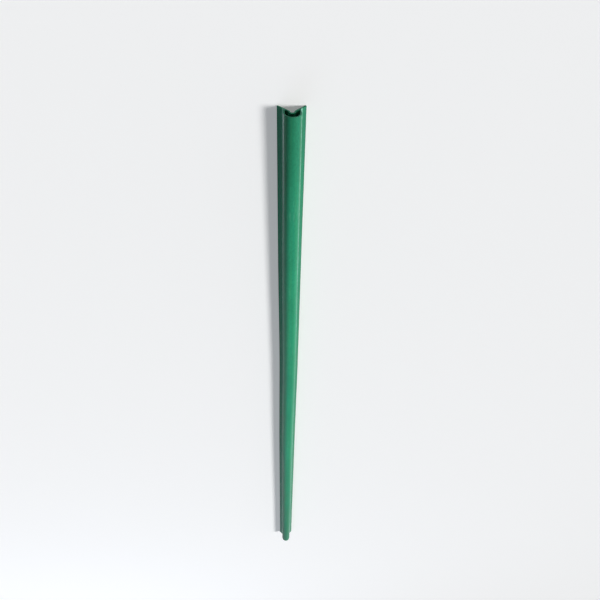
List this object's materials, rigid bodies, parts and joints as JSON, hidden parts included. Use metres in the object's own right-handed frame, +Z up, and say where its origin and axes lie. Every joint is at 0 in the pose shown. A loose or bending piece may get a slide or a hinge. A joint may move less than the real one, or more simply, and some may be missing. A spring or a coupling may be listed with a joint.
{
  "type": "corner guard moulding",
  "caption": "Long soft corner guard strip with flat wings at a right angle and a round hollow nose, open at its ends, that covers the outside corner of a wall.",
  "frame": {"origin": "on the floor under the middle of the strip, which lies on its two wing tips with its nose up", "axes": "+Y along the strip, +X across it from wing to wing, +Z up, out of the wall's corner through the middle of the nose"},
  "size_m": [0.0302, 1.2, 0.0252],
  "materials": {
    "soft_pvc": "satin green flexible PVC, extruded"
  },
  "bodies": {
    "root": {"corner_guard": "soft_pvc"}
  },
  "joints": []
}
